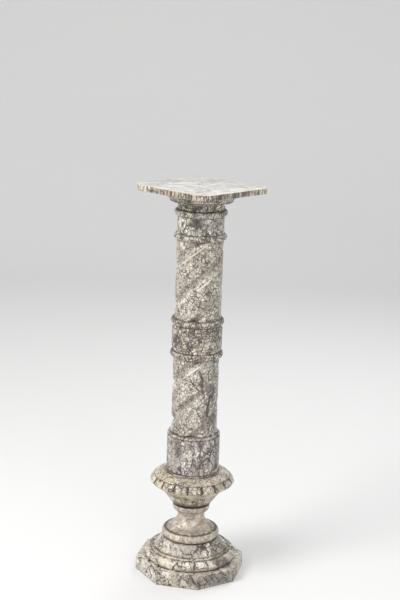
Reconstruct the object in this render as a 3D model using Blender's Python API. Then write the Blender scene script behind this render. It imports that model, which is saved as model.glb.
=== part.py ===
"""A marble pedestal column: square slab with cut corners, spirally carved shaft, gadrooned cup, octagonal base.

Metres, +Z up. The origin is the middle of the underside. The slab's sides run along X and Y.
"""

from math import asin, cos, pi, radians, sin, sqrt, tau

import bmesh
import bpy

# Overall height: the two spirals fill what the other pieces leave of it
OVERALL_HEIGHT = 1.1037

# Clearances
JOINT_GAP = 0.0003

# Slab, whose four corners are cut off straight
SLAB_SIDE = 0.270
SLAB_CORNER_CUT = 0.036
SLAB_THICKNESS = 0.0159
SLAB_EASED_EDGE = 0.0012

# Shaft: the capital's neck, the drum under it and both spirals share this radius
SHAFT_RADIUS = 0.0637

# Capital
CAPITAL_SLAB_MARGIN = 0.0165
CAPITAL_LIP_PROJECTION = 0.0225
CAPITAL_COVE_HEIGHT = 0.0198
CAPITAL_LIP_HEIGHT = 0.0024
CAPITAL_ROUND_HEIGHT = 0.0066
CAPITAL_NECK_HEIGHT = 0.0175

# Neck drum
NECK_BEAD_HEIGHT = 0.0174
NECK_BEAD_PROJECTION = 0.0085
NECK_PLAIN_HEIGHT = 0.0480

# Spirals
TWIST_STARTS = 3
TWIST_LEAD = 0.321
GROOVE_DEPTH = 0.0130
GROOVE_SHARE = 0.32
LOBE_CROWN = 0.0008
UPPER_TWIST_SHARE = 0.4979
UPPER_TWIST_TURN = radians(95.0)
LOWER_TWIST_TURN = radians(96.0)
FLARE_HEIGHT = 0.0140
FLARE_PROJECTION = 0.0040

# Middle band, with projections beyond the shaft
BAND_BEAD_HEIGHT = 0.0176
BAND_BEAD_PROJECTION = 0.0093
BAND_PROJECTION = 0.0053
BAND_HEIGHT = 0.0556
BAND_RECESS_DEPTH = 0.0023
BAND_RECESS_HEIGHT = 0.0094

# Lower drum, which stands out from the shaft
DRUM_PROJECTION = 0.0100
DRUM_PLAIN_HEIGHT = 0.1008
DRUM_SHOULDER_HEIGHT = 0.0057
DRUM_SHOULDER_DROP = 0.0045
DRUM_FOOT_PROJECTION = 0.0022
DRUM_FOOT_HEIGHT = 0.0072
DRUM_LINE_DEPTH = 0.0018
DRUM_LINE_WIDTH = 0.0020

# Gadrooned cup, whose rim stands out from the drum and whose bottom overhangs the collar
GADROON_COUNT = 18
GADROON_DEPTH = 0.0062
GADROON_TURN = radians(17.7)
CUP_SEAT_MARGIN = 0.0014
CUP_RIM_PROJECTION = 0.0449
CUP_SHOULDER_HEIGHT = 0.0266
CUP_LOBE_HEIGHT = 0.0315
CUP_WAIST_INSET = 0.0371
CUP_BOWL_HEIGHT = 0.0347
CUP_BOTTOM_OVERHANG = 0.0014
CUP_FOOT_INSET = 0.0080
CUP_FOOT_HEIGHT = 0.0030

# Socle
COLLAR_RADIUS = 0.0530
COLLAR_HEIGHT = 0.0170
COLLAR_TAPER = 0.0030
SOCLE_NECK_RADIUS = 0.0380
SOCLE_NECK_DROP = 0.0200
SOCLE_SCOTIA_HEIGHT = 0.0380
SOCLE_RIM_RADIUS = 0.0810
SOCLE_RIM_HEIGHT = 0.0230
SOCLE_RIM_INSET = 0.0106

# Octagonal base, whose torus stands back from the plinth's flats
BASE_ACROSS_FLATS = 0.285
BASE_TURN = radians(-15.2)
PLINTH_HEIGHT = 0.0385
PLINTH_EASED_EDGE = 0.0018
PLINTH_LEDGE = 0.0141
TORUS_HEIGHT = 0.0270
TORUS_OVAL = 0.0179
FILLET_INSET = 0.0188
FILLET_HEIGHT = 0.0066
FILLET_LEDGE = 0.0055
OGEE_TOP_INSET = 0.0082
OGEE_HEIGHT = 0.0290

# Facets
ROUND_SIDES = 32
BASE_SIDES = 40
TWIST_LEVELS = 15
BEAD_STEPS = 5
GROOVE_SAMPLES = (0.0, 0.36, 0.70)
LOBE_SAMPLES = (0.02, 0.35, 0.72, 1.0)
GADROON_SAMPLES = (-1.0, -0.70, 0.0, 0.70)


def marble(name, colour, roughness):
    """A stone material of one plain colour."""
    material = bpy.data.materials.new(name)
    material.use_nodes = True
    shader = material.node_tree.nodes["Principled BSDF"]
    shader.inputs["Base Color"].default_value = (*colour, 1.0)
    shader.inputs["Roughness"].default_value = roughness
    shader.inputs["Metallic"].default_value = 0.0
    return material


def finish(name, shell, material, sharp=radians(35)):
    """Turns a bmesh into a smooth-shaded object that keeps its arrises sharp."""
    bmesh.ops.recalc_face_normals(shell, faces=shell.faces)
    mesh = bpy.data.meshes.new(name)
    shell.to_mesh(mesh)
    shell.free()
    mesh.shade_smooth()
    mesh.set_sharp_from_angle(angle=sharp)
    mesh.materials.append(material)
    piece = bpy.data.objects.new(name, mesh)
    bpy.context.collection.objects.link(piece)
    return piece


def turned(name, outline, material):
    """Spins an outline of (radius, height) points, bottom to top, and caps both ends flat."""
    shell = bmesh.new()
    verts = [shell.verts.new((radius, 0.0, height)) for radius, height in outline]
    edges = [shell.edges.new(pair) for pair in zip(verts, verts[1:])]
    bmesh.ops.spin(
        shell, geom=verts + edges, axis=(0, 0, 1), cent=(0, 0, 0), angle=tau, steps=ROUND_SIDES, use_merge=True
    )
    bmesh.ops.holes_fill(shell, edges=[edge for edge in shell.edges if edge.is_boundary], sides=0)
    return finish(name, shell, material)


def skinned(name, rings, material):
    """Joins closed rings of points, bottom to top, with quads and caps both ends flat."""
    shell = bmesh.new()
    loops = [[shell.verts.new(point) for point in ring] for ring in rings]
    for low, high in zip(loops, loops[1:]):
        for index in range(len(low)):
            after = (index + 1) % len(low)
            shell.faces.new((low[index], low[after], high[after], high[index]))
    shell.faces.new(reversed(loops[0]))
    shell.faces.new(loops[-1])
    return finish(name, shell, material)


def ring(radii, angles, height):
    """Points at the given radii and angles, all at one height."""
    return [(radius * cos(angle), radius * sin(angle), height) for radius, angle in zip(radii, angles)]


def bead(core, projection, bottom, height):
    """A half-round moulding on a core radius, bottom to top."""
    points = []
    for step in range(BEAD_STEPS + 1):
        angle = pi * step / BEAD_STEPS
        points.append((core + projection * sin(angle), bottom + height * (1 - cos(angle)) / 2))
    return points


def sweep(start, pull_start, pull_end, end, steps):
    """A cubic curve from start to end, drawn towards its two inner points."""
    points = []
    for step in range(steps + 1):
        t = step / steps
        weights = ((1 - t) ** 3, 3 * t * (1 - t) ** 2, 3 * t * t * (1 - t), t ** 3)
        corners = (start, pull_start, pull_end, end)
        points.append(tuple(sum(w * corner[axis] for w, corner in zip(weights, corners)) for axis in (0, 1)))
    return points


def top_slab():
    """A square slab with cut corners and eased edges."""
    shell = bmesh.new()
    bmesh.ops.create_cube(shell, size=1.0)
    bmesh.ops.scale(shell, vec=(SLAB_SIDE, SLAB_SIDE, SLAB_THICKNESS), verts=shell.verts)
    bmesh.ops.translate(shell, vec=(0, 0, SLAB_THICKNESS / 2), verts=shell.verts)
    rises = {edge: abs(edge.verts[0].co.z - edge.verts[1].co.z) for edge in shell.edges}
    upright = [edge for edge in shell.edges if rises[edge] > SLAB_THICKNESS / 2]
    bmesh.ops.bevel(
        shell, geom=upright, offset=SLAB_CORNER_CUT / sqrt(2), segments=1, profile=0.5, affect="EDGES"
    )
    bmesh.ops.bevel(
        shell, geom=shell.edges[:], offset=SLAB_EASED_EDGE, segments=1, profile=0.5, affect="EDGES"
    )
    return finish("top_slab", shell, marble("slab marble", (0.76, 0.74, 0.68), 0.28))


def capital():
    """A cove under the slab, a thin lip, a quarter round and a short plain neck."""
    top_radius = SLAB_SIDE / 2 - CAPITAL_SLAB_MARGIN
    round_bottom = CAPITAL_NECK_HEIGHT
    lip_bottom = round_bottom + CAPITAL_ROUND_HEIGHT
    lip_top = lip_bottom + CAPITAL_LIP_HEIGHT
    top = lip_top + CAPITAL_COVE_HEIGHT
    lip_radius = SHAFT_RADIUS + CAPITAL_LIP_PROJECTION
    cove_width = top_radius - lip_radius
    outline = [(SHAFT_RADIUS, 0.0), (SHAFT_RADIUS, round_bottom)]
    for step in range(1, 4):
        angle = pi / 2 * step / 3
        radius = SHAFT_RADIUS + CAPITAL_LIP_PROJECTION * sin(angle)
        outline.append((radius, lip_bottom - CAPITAL_ROUND_HEIGHT * cos(angle)))
    outline += sweep(
        (lip_radius, lip_top),
        (lip_radius + cove_width * 0.16, lip_top + CAPITAL_COVE_HEIGHT * 0.35),
        (lip_radius + cove_width * 0.55, lip_top + CAPITAL_COVE_HEIGHT * 0.62),
        (top_radius, top),
        4,
    )
    return turned("capital", outline, marble("capital marble", (0.66, 0.61, 0.50), 0.34))


def neck_drum():
    """A plain drum between two half-round beads."""
    plain_top = NECK_BEAD_HEIGHT + NECK_PLAIN_HEIGHT
    outline = bead(SHAFT_RADIUS, NECK_BEAD_PROJECTION, 0.0, NECK_BEAD_HEIGHT)
    outline += bead(SHAFT_RADIUS, NECK_BEAD_PROJECTION, plain_top, NECK_BEAD_HEIGHT)
    return turned("neck_drum", outline, marble("neck marble", (0.70, 0.68, 0.64), 0.30))


def groove_depth(share):
    """How deep the spiral's surface lies, at a share of the way from one groove's middle to the next."""
    from_groove = min(share, 1 - share)
    half_width = GROOVE_SHARE / 2
    crown = LOBE_CROWN * (1 - from_groove / 0.5) ** 2
    if from_groove >= half_width:
        return crown
    return crown + (GROOVE_DEPTH - LOBE_CROWN) * (1 + cos(pi * from_groove / half_width)) / 2


def twist(name, height, flare, material):
    """A shaft with wide lobes between narrow round grooves that rise as a screw thread does."""
    groove_edge = GROOVE_SHARE / 2
    rise = [groove_edge * sample for sample in GROOVE_SAMPLES]
    rise += [groove_edge + (0.5 - groove_edge) * sample for sample in LOBE_SAMPLES]
    fall = [1 - share for share in reversed(rise[1:-1])]
    shares = [start + share for start in range(TWIST_STARTS) for share in rise + fall]
    heights = [height * level / TWIST_LEVELS for level in range(TWIST_LEVELS + 1)]
    if flare:
        heights.insert(1, FLARE_HEIGHT / 3)
    rings = []
    for z in heights:
        turn = tau * z / TWIST_LEAD
        spread = flare * max(0.0, 1 - z / FLARE_HEIGHT) ** 2
        radii = [SHAFT_RADIUS + spread - groove_depth(share % 1.0) for share in shares]
        angles = [turn + tau * share / TWIST_STARTS for share in shares]
        rings.append(ring(radii, angles, z))
    return skinned(name, rings, material)


def room_for_twists():
    """The height that the other eight pieces and the joints leave for the two spirals."""
    base = PLINTH_HEIGHT + TORUS_HEIGHT + FILLET_HEIGHT + OGEE_HEIGHT
    waist = SOCLE_RIM_HEIGHT + SOCLE_SCOTIA_HEIGHT + SOCLE_NECK_DROP + COLLAR_HEIGHT
    cup = CUP_FOOT_HEIGHT + CUP_BOWL_HEIGHT + CUP_LOBE_HEIGHT + CUP_SHOULDER_HEIGHT
    drum = DRUM_FOOT_HEIGHT + DRUM_PLAIN_HEIGHT + DRUM_LINE_WIDTH + DRUM_SHOULDER_HEIGHT
    band = BAND_HEIGHT + 2 * (BAND_BEAD_HEIGHT + BAND_RECESS_HEIGHT)
    neck = NECK_PLAIN_HEIGHT + 2 * NECK_BEAD_HEIGHT
    head = CAPITAL_NECK_HEIGHT + CAPITAL_ROUND_HEIGHT + CAPITAL_LIP_HEIGHT + CAPITAL_COVE_HEIGHT
    joints = 9 * JOINT_GAP
    return OVERALL_HEIGHT - base - waist - cup - drum - band - neck - head - SLAB_THICKNESS - joints


def upper_twist():
    height = room_for_twists() * UPPER_TWIST_SHARE
    piece = twist("upper_twist", height, 0.0, marble("upper spiral marble", (0.55, 0.52, 0.47), 0.33))
    piece.rotation_euler.z = UPPER_TWIST_TURN
    return piece


def lower_twist():
    material = marble("lower spiral marble", (0.54, 0.51, 0.46), 0.33)
    height = room_for_twists() * (1 - UPPER_TWIST_SHARE)
    piece = twist("lower_twist", height, FLARE_PROJECTION, material)
    piece.rotation_euler.z = LOWER_TWIST_TURN
    return piece


def middle_band():
    """Two beads with a plain band between them, each divided from the band by a narrow recess."""
    band_radius = SHAFT_RADIUS + BAND_PROJECTION
    recess_radius = band_radius - BAND_RECESS_DEPTH
    bead_projection = SHAFT_RADIUS + BAND_BEAD_PROJECTION - recess_radius
    band_bottom = BAND_BEAD_HEIGHT + BAND_RECESS_HEIGHT
    band_top = band_bottom + BAND_HEIGHT
    outline = bead(recess_radius, bead_projection, 0.0, BAND_BEAD_HEIGHT)
    outline += [(recess_radius, band_bottom), (band_radius, band_bottom)]
    outline += [(band_radius, band_top), (recess_radius, band_top)]
    outline += bead(recess_radius, bead_projection, band_top + BAND_RECESS_HEIGHT, BAND_BEAD_HEIGHT)
    return turned("middle_band", outline, marble("band marble", (0.57, 0.54, 0.47), 0.32))


def lower_drum():
    """A plain drum on a thin foot ring, with a rounded shoulder set off by a cut line."""
    radius = SHAFT_RADIUS + DRUM_PROJECTION
    foot_radius = radius + DRUM_FOOT_PROJECTION
    line_bottom = DRUM_FOOT_HEIGHT + DRUM_PLAIN_HEIGHT
    shoulder_bottom = line_bottom + DRUM_LINE_WIDTH
    top = shoulder_bottom + DRUM_SHOULDER_HEIGHT
    outline = [(foot_radius, 0.0), (foot_radius, DRUM_FOOT_HEIGHT)]
    outline += [(radius, DRUM_FOOT_HEIGHT), (radius, line_bottom)]
    outline.append((radius - DRUM_LINE_DEPTH, line_bottom + DRUM_LINE_WIDTH / 2))
    outline += sweep(
        (radius, shoulder_bottom),
        (radius, shoulder_bottom + DRUM_SHOULDER_HEIGHT * 0.6),
        (radius - DRUM_SHOULDER_DROP * 0.3, top),
        (radius - DRUM_SHOULDER_DROP, top),
        4,
    )
    return turned("lower_drum", outline, marble("drum marble", (0.60, 0.56, 0.53), 0.30))


def cup_outline():
    """(radius, height, depth of the cuts between gadroons) from the cup's foot to its seat."""
    waist = CUP_FOOT_HEIGHT + CUP_BOWL_HEIGHT
    rim = waist + CUP_LOBE_HEIGHT
    seat = rim + CUP_SHOULDER_HEIGHT
    drum_radius = SHAFT_RADIUS + DRUM_PROJECTION
    seat_radius = drum_radius + DRUM_FOOT_PROJECTION + CUP_SEAT_MARGIN
    rim_radius = drum_radius + CUP_RIM_PROJECTION
    waist_radius = rim_radius - CUP_WAIST_INSET
    bottom_radius = COLLAR_RADIUS + CUP_BOTTOM_OVERHANG
    foot_radius = COLLAR_RADIUS - CUP_FOOT_INSET
    bowl_width = waist_radius - bottom_radius
    shoulder_width = rim_radius - seat_radius
    bowl = sweep(
        (bottom_radius, CUP_FOOT_HEIGHT),
        (bottom_radius + bowl_width * 0.44, CUP_FOOT_HEIGHT + CUP_BOWL_HEIGHT * 0.33),
        (bottom_radius + bowl_width * 0.74, CUP_FOOT_HEIGHT + CUP_BOWL_HEIGHT * 0.82),
        (waist_radius, waist),
        2,
    )
    lobe = sweep(
        (waist_radius, waist),
        (waist_radius + CUP_WAIST_INSET * 0.34, waist + CUP_LOBE_HEIGHT * 0.50),
        (rim_radius, waist + CUP_LOBE_HEIGHT * 0.76),
        (rim_radius, rim),
        5,
    )
    shoulder = sweep(
        (rim_radius, rim),
        (rim_radius - shoulder_width * 0.05, rim + CUP_SHOULDER_HEIGHT * 0.38),
        (rim_radius - shoulder_width * 0.49, rim + CUP_SHOULDER_HEIGHT * 0.96),
        (seat_radius, seat),
        5,
    )
    plain = [(foot_radius, 0.0), (foot_radius, CUP_FOOT_HEIGHT)] + bowl
    carved = lobe[1:] + shoulder[1:3]
    cut_shares = (0.35, 0.75, 0.95, 1.0, 1.0, 0.95, 0.75)
    points = [(radius, height, 0.0) for radius, height in plain]
    points += [(radius, height, GADROON_DEPTH * share) for (radius, height), share in zip(carved, cut_shares)]
    points += [(radius, height, 0.0) for radius, height in shoulder[3:]]
    return points


def gadrooned_cup():
    """A round cup whose rim is cut into gadroons, which die away towards its foot."""
    pitch = tau / GADROON_COUNT
    angles = [pitch * (index + share / 2) for index in range(GADROON_COUNT) for share in GADROON_SAMPLES]
    swells = [abs(share) ** 4 for share in GADROON_SAMPLES] * GADROON_COUNT
    rings = [
        ring([radius - depth * swell for swell in swells], angles, height)
        for radius, height, depth in cup_outline()
    ]
    piece = skinned("gadrooned_cup", rings, marble("cup marble", (0.64, 0.57, 0.43), 0.33))
    piece.rotation_euler.z = GADROON_TURN + pitch / 2
    return piece


def socle():
    """A collar on a waisted neck that sweeps out to a round-edged disc."""
    crease_radius = SOCLE_RIM_RADIUS - SOCLE_RIM_INSET
    neck = SOCLE_RIM_HEIGHT + SOCLE_SCOTIA_HEIGHT
    collar_bottom = neck + SOCLE_NECK_DROP
    top = collar_bottom + COLLAR_HEIGHT
    flare = crease_radius - SOCLE_NECK_RADIUS
    collar_foot = COLLAR_RADIUS - COLLAR_TAPER
    outline = []
    for angle in (-1.25, -0.75, 0.0, 0.65, 1.15):
        reach = SOCLE_RIM_INSET * cos(angle)
        outline.append((crease_radius + reach, SOCLE_RIM_HEIGHT * (0.5 + sin(angle) / 2 / sin(1.25))))
    outline[-1] = (outline[-1][0], SOCLE_RIM_HEIGHT)
    outline += sweep(
        (crease_radius, SOCLE_RIM_HEIGHT * 0.97),
        (crease_radius - flare * 0.55, SOCLE_RIM_HEIGHT + SOCLE_SCOTIA_HEIGHT * 0.36),
        (SOCLE_NECK_RADIUS, SOCLE_RIM_HEIGHT + SOCLE_SCOTIA_HEIGHT * 0.55),
        (SOCLE_NECK_RADIUS, neck),
        5,
    )
    outline += sweep(
        (SOCLE_NECK_RADIUS, neck + SOCLE_NECK_DROP * 0.15),
        (SOCLE_NECK_RADIUS, neck + SOCLE_NECK_DROP * 0.55),
        (collar_foot - COLLAR_TAPER, collar_bottom - SOCLE_NECK_DROP * 0.20),
        (collar_foot, collar_bottom),
        3,
    )
    outline.append((COLLAR_RADIUS - COLLAR_TAPER * 0.3, collar_bottom + COLLAR_HEIGHT * 0.45))
    outline.append((COLLAR_RADIUS, top))
    return turned("socle", outline, marble("socle marble", (0.56, 0.52, 0.44), 0.40))


def octagon_radii(angles, across_flats):
    """Distance from the middle to an octagon's side along each angle, with sides facing X and Y."""
    side = pi / 4
    return [across_flats / 2 / cos((angle + side / 2) % side - side / 2) for angle in angles]


def octagonal_base():
    """An octagonal plinth that carries a torus, a thin fillet and an ogee, all carved from one block."""
    corner = pi / 8
    angles = [corner + tau * index / BASE_SIDES for index in range(BASE_SIDES)]
    flats = octagon_radii(angles, BASE_ACROSS_FLATS)
    eased = octagon_radii(angles, BASE_ACROSS_FLATS - 2 * PLINTH_EASED_EDGE)
    torus_radius = BASE_ACROSS_FLATS / 2 - PLINTH_LEDGE
    torus_core = torus_radius - TORUS_OVAL
    torus_top = PLINTH_HEIGHT + TORUS_HEIGHT
    fillet_radius = torus_radius - FILLET_INSET
    fillet_top = torus_top + FILLET_HEIGHT
    ogee_foot = fillet_radius - FILLET_LEDGE
    ogee_top = SOCLE_RIM_RADIUS - OGEE_TOP_INSET
    top = fillet_top + OGEE_HEIGHT
    ogee_width = ogee_foot - ogee_top
    outline = []
    first = asin(-0.8)
    for step in range(6):
        angle = first + (pi / 2 - first) * step / 5
        height = PLINTH_HEIGHT + TORUS_HEIGHT * (sin(angle) + 0.8) / 1.8
        outline.append((torus_core + TORUS_OVAL * cos(angle), height))
    outline += [(fillet_radius, torus_top), (fillet_radius, fillet_top)]
    outline += sweep(
        (ogee_foot, fillet_top),
        (ogee_foot - ogee_width * 0.40, fillet_top + OGEE_HEIGHT * 0.10),
        (ogee_top + ogee_width * 0.42, fillet_top + OGEE_HEIGHT * 0.98),
        (ogee_top, top),
        5,
    )
    rings = [ring(flats, angles, 0.0), ring(flats, angles, PLINTH_HEIGHT - PLINTH_EASED_EDGE)]
    rings.append(ring(eased, angles, PLINTH_HEIGHT))
    rings += [ring([radius] * BASE_SIDES, angles, height) for radius, height in outline]
    piece = skinned("octagonal_base", rings, marble("base marble", (0.62, 0.57, 0.46), 0.33))
    piece.rotation_euler.z = BASE_TURN
    return piece


def main():
    for old in list(bpy.data.objects):
        bpy.data.objects.remove(old)
    column = bpy.data.objects.new("marble_column", None)
    bpy.context.collection.objects.link(column)
    builders = (
        octagonal_base,
        socle,
        gadrooned_cup,
        lower_drum,
        lower_twist,
        middle_band,
        upper_twist,
        neck_drum,
        capital,
        top_slab,
    )
    height = 0.0
    for build in builders:
        piece = build()
        piece.parent = column
        piece.location.z = height
        height += max(vertex.co.z for vertex in piece.data.vertices) + JOINT_GAP


main()
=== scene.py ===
from math import asin, atan2, cos, degrees, hypot, pi, radians, sin, sqrt, tau

import bpy
from mathutils import Matrix, Vector


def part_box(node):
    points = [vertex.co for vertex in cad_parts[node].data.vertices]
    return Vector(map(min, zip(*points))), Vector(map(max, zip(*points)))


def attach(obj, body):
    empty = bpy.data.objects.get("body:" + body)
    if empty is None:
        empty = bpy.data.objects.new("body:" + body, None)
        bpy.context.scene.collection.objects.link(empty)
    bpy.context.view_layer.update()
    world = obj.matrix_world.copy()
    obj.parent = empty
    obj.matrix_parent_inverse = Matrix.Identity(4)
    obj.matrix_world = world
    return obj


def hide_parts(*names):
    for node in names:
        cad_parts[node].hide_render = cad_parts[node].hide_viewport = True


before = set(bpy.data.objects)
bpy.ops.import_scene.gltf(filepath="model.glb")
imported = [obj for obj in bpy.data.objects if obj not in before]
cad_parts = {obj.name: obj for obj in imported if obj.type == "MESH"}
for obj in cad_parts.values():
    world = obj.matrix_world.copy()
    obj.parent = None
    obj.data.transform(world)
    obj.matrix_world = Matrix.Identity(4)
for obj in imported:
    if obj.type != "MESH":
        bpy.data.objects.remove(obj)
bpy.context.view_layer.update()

print("frame loaded")


# Outlines: (radius, height) pairs, bottom to top

def halfRound(core, projection, bottom, height, steps=12):
    points = []
    for step in range(steps + 1):
        angle = pi * step / steps
        points.append((core + projection * sin(angle), bottom + height * (1 - cos(angle)) / 2))
    return points


def sweepCurve(start, pullStart, pullEnd, end, steps):
    points = []
    for step in range(steps + 1):
        t = step / steps
        weights = ((1 - t) ** 3, 3 * t * (1 - t) ** 2, 3 * t * t * (1 - t), t ** 3)
        corners = (start, pullStart, pullEnd, end)
        mixed = [sum(w * corner[axis] for w, corner in zip(weights, corners)) for axis in (0, 1)]
        points.append(tuple(mixed))
    return points


def curveBetween(start, end, pulls, steps):
    # pulls are shares of the way from start to end, across and up
    pulled = [tuple(a + (b - a) * share for a, b, share in zip(start, end, pull)) for pull in pulls]
    return sweepCurve(start, *pulled, end, steps)


def thinned(outline, least=0.0004):
    kept = [outline[0]]
    for point in outline[1:]:
        if hypot(point[0] - kept[-1][0], point[1] - kept[-1][1]) > least:
            kept.append(point)
    return kept


# Sizes that neighbouring pieces share

shared = {"shaftRadius": 0.0637, "slabSide": 0.270, "collarRadius": 0.0530}


# Modelling moves, done as by hand

levelTolerance = 0.00005  # heights closer than this are one level


def clearSelection():
    bpy.ops.object.select_all(action="DESELECT")


def selectVerts(piece, wanted):
    # picks vertices by their place, from edit mode
    bpy.ops.mesh.select_all(action="DESELECT")
    bpy.ops.object.mode_set(mode="OBJECT")
    for vertex in piece.data.vertices:
        vertex.select = wanted(vertex.co)
    bpy.ops.object.mode_set(mode="EDIT")


def startAt(name, place):
    # a single vertex to draw from, left in edit mode
    clearSelection()
    bpy.ops.mesh.primitive_plane_add(size=0.01, location=(0, 0, 0))
    piece = bpy.context.object
    piece.name = piece.data.name = name
    bpy.ops.object.mode_set(mode="EDIT")
    bpy.ops.mesh.select_mode(type="VERT")
    bpy.ops.mesh.select_all(action="SELECT")
    bpy.ops.mesh.merge(type="CENTER")
    bpy.ops.transform.translate(value=place)
    return piece


def draw(across, along, up):
    bpy.ops.mesh.extrude_region_move(TRANSFORM_OT_translate={"value": (across, along, up)})


def widen(scale, height):
    bpy.ops.transform.resize(value=(scale, scale, 1), center_override=(0, 0, height))


def turnFacesOut():
    # from edit mode, and out of it
    bpy.ops.mesh.select_all(action="SELECT")
    bpy.ops.mesh.normals_make_consistent(inside=False)
    bpy.ops.object.mode_set(mode="OBJECT")


def fromCut(co, count):
    # share of the way round from the nearest of so many cuts to the next, 0 to 0.5
    share = (Vector((co.x, co.y)).angle_signed(Vector((1, 0)), 0) / tau * count) % 1
    return min(share, 1 - share)


def applyPlace(piece):
    clearSelection()
    piece.select_set(True)
    bpy.context.view_layer.objects.active = piece
    bpy.ops.object.transform_apply(location=True, rotation=True, scale=True)


def easeArrises(piece, width, angle=radians(28), segments=2):
    bevel = piece.modifiers.new("easedArrises", "BEVEL")
    bevel.width = width
    bevel.segments = segments
    bevel.limit_method = "ANGLE"
    bevel.angle_limit = angle
    bevel.use_clamp_overlap = True
    bpy.context.view_layer.objects.active = piece
    bpy.ops.object.modifier_apply(modifier=bevel.name)


def smooth(piece, crease):
    # edges sharper than crease, in degrees, stay sharp
    clearSelection()
    piece.select_set(True)
    bpy.context.view_layer.objects.active = piece
    bpy.ops.object.shade_smooth_by_angle(angle=radians(crease))


def lathe(name, outline, bottom, sides=128, mergeGap=0.00002):
    # one vertex is drawn up the outline, then spun round the column's axis
    outline = thinned([(0.0, outline[0][1])] + list(outline) + [(0.0, outline[-1][1])])
    piece = startAt(name, (outline[0][0], 0, bottom + outline[0][1]))
    for low, high in zip(outline, outline[1:]):
        draw(high[0] - low[0], 0, high[1] - low[1])
    bpy.ops.mesh.select_all(action="SELECT")
    bpy.ops.mesh.spin(steps=sides, angle=tau, center=(0, 0, 0), axis=(0, 0, 1))
    bpy.ops.mesh.select_all(action="SELECT")
    bpy.ops.mesh.remove_doubles(threshold=mergeGap)
    turnFacesOut()
    return piece


def settle(piece, node, eased=0.0, crease=38):
    # a made piece takes the place of its node
    if eased:
        easeArrises(piece, eased)
    smooth(piece, crease)
    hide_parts(node)
    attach(piece, "root")
    print("made", piece.name, len(piece.data.polygons), "faces")
    return piece


# Slab

slabSizes = {"side": shared["slabSide"], "cornerCut": 0.036, "easedEdge": 0.0014}


def makeSlab():
    low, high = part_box("top_slab")
    clearSelection()
    bpy.ops.mesh.primitive_cube_add(size=1, location=(0, 0, (low.z + high.z) / 2))
    piece = bpy.context.object
    piece.name = piece.data.name = "squareSlab"
    piece.scale = (slabSizes["side"], slabSizes["side"], high.z - low.z)
    applyPlace(piece)
    # the four upright edges are picked and cut off straight
    bpy.ops.object.mode_set(mode="EDIT")
    bpy.ops.mesh.select_mode(type="EDGE")
    bpy.ops.mesh.select_all(action="DESELECT")
    bpy.ops.object.mode_set(mode="OBJECT")
    for edge in piece.data.edges:
        ends = [piece.data.vertices[index].co.z for index in edge.vertices]
        edge.select = abs(ends[0] - ends[1]) > 0.001
    bpy.ops.object.mode_set(mode="EDIT")
    bpy.ops.mesh.bevel(offset=slabSizes["cornerCut"] / sqrt(2), segments=1)
    bpy.ops.object.mode_set(mode="OBJECT")
    easeArrises(piece, slabSizes["easedEdge"], segments=3)
    return settle(piece, "top_slab")


# Capital: short neck, quarter round, thin lip, cove that opens under the slab

capitalSizes = {
    "shaftRadius": shared["shaftRadius"],
    "slabSide": shared["slabSide"],
    "slabMargin": 0.0165,
    "neckHeight": 0.0175,
    "roundHeight": 0.0066,
    "lipProjection": 0.0225,
    "lipHeight": 0.0024,
    "coveHeight": 0.0198,
    "covePulls": ((0.16, 0.35), (0.55, 0.62)),
    "easedEdge": 0.0005,
}


def makeCapital():
    s = capitalSizes
    shaft, neck = s["shaftRadius"], s["neckHeight"]
    lipRadius = shaft + s["lipProjection"]
    lipBottom = neck + s["roundHeight"]
    lipTop = lipBottom + s["lipHeight"]
    topRadius = s["slabSide"] / 2 - s["slabMargin"]
    outline = [(shaft, 0), (shaft, neck)]
    for step in range(1, 9):
        angle = pi / 2 * step / 8
        radius = shaft + s["lipProjection"] * sin(angle)
        outline.append((radius, lipBottom - s["roundHeight"] * cos(angle)))
    outline += curveBetween((lipRadius, lipTop), (topRadius, lipTop + s["coveHeight"]), s["covePulls"], 14)
    piece = lathe("capitalMoulding", outline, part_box("capital")[0].z)
    return settle(piece, "capital", s["easedEdge"])


# Neck drum: plain, between two beads

neckSizes = {
    "radius": shared["shaftRadius"],
    "beadHeight": 0.0174,
    "beadProjection": 0.0085,
    "plainHeight": 0.0480,
}


def makeNeckDrum():
    s = neckSizes
    plainTop = s["beadHeight"] + s["plainHeight"]
    outline = halfRound(s["radius"], s["beadProjection"], 0, s["beadHeight"])
    outline += halfRound(s["radius"], s["beadProjection"], plainTop, s["beadHeight"])
    piece = lathe("beadedNeckDrum", outline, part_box("neck_drum")[0].z)
    return settle(piece, "neck_drum")


# Spiral shafts: a section with three grooves, drawn up and then twisted

spiralSizes = {
    "radius": shared["shaftRadius"],
    "starts": 3,
    "lead": 0.321,
    "grooveDepth": 0.0130,
    "grooveShare": 0.32,
    "lobeCrown": 0.0008,
    "pointsPerLobe": 48,
    "levels": 90,
    "upperTurn": 95.0,
    "lowerTurn": 96.0,
    "flareHeight": 0.0140,
    "flareProjection": 0.0040,
}


def grooveDepthAt(share):
    s = spiralSizes
    fromGroove = min(share, 1 - share)
    halfWidth = s["grooveShare"] / 2
    crown = s["lobeCrown"] * (1 - fromGroove / 0.5) ** 2
    if fromGroove >= halfWidth:
        return crown
    return crown + (s["grooveDepth"] - s["lobeCrown"]) * (1 + cos(pi * fromGroove / halfWidth)) / 2


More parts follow.
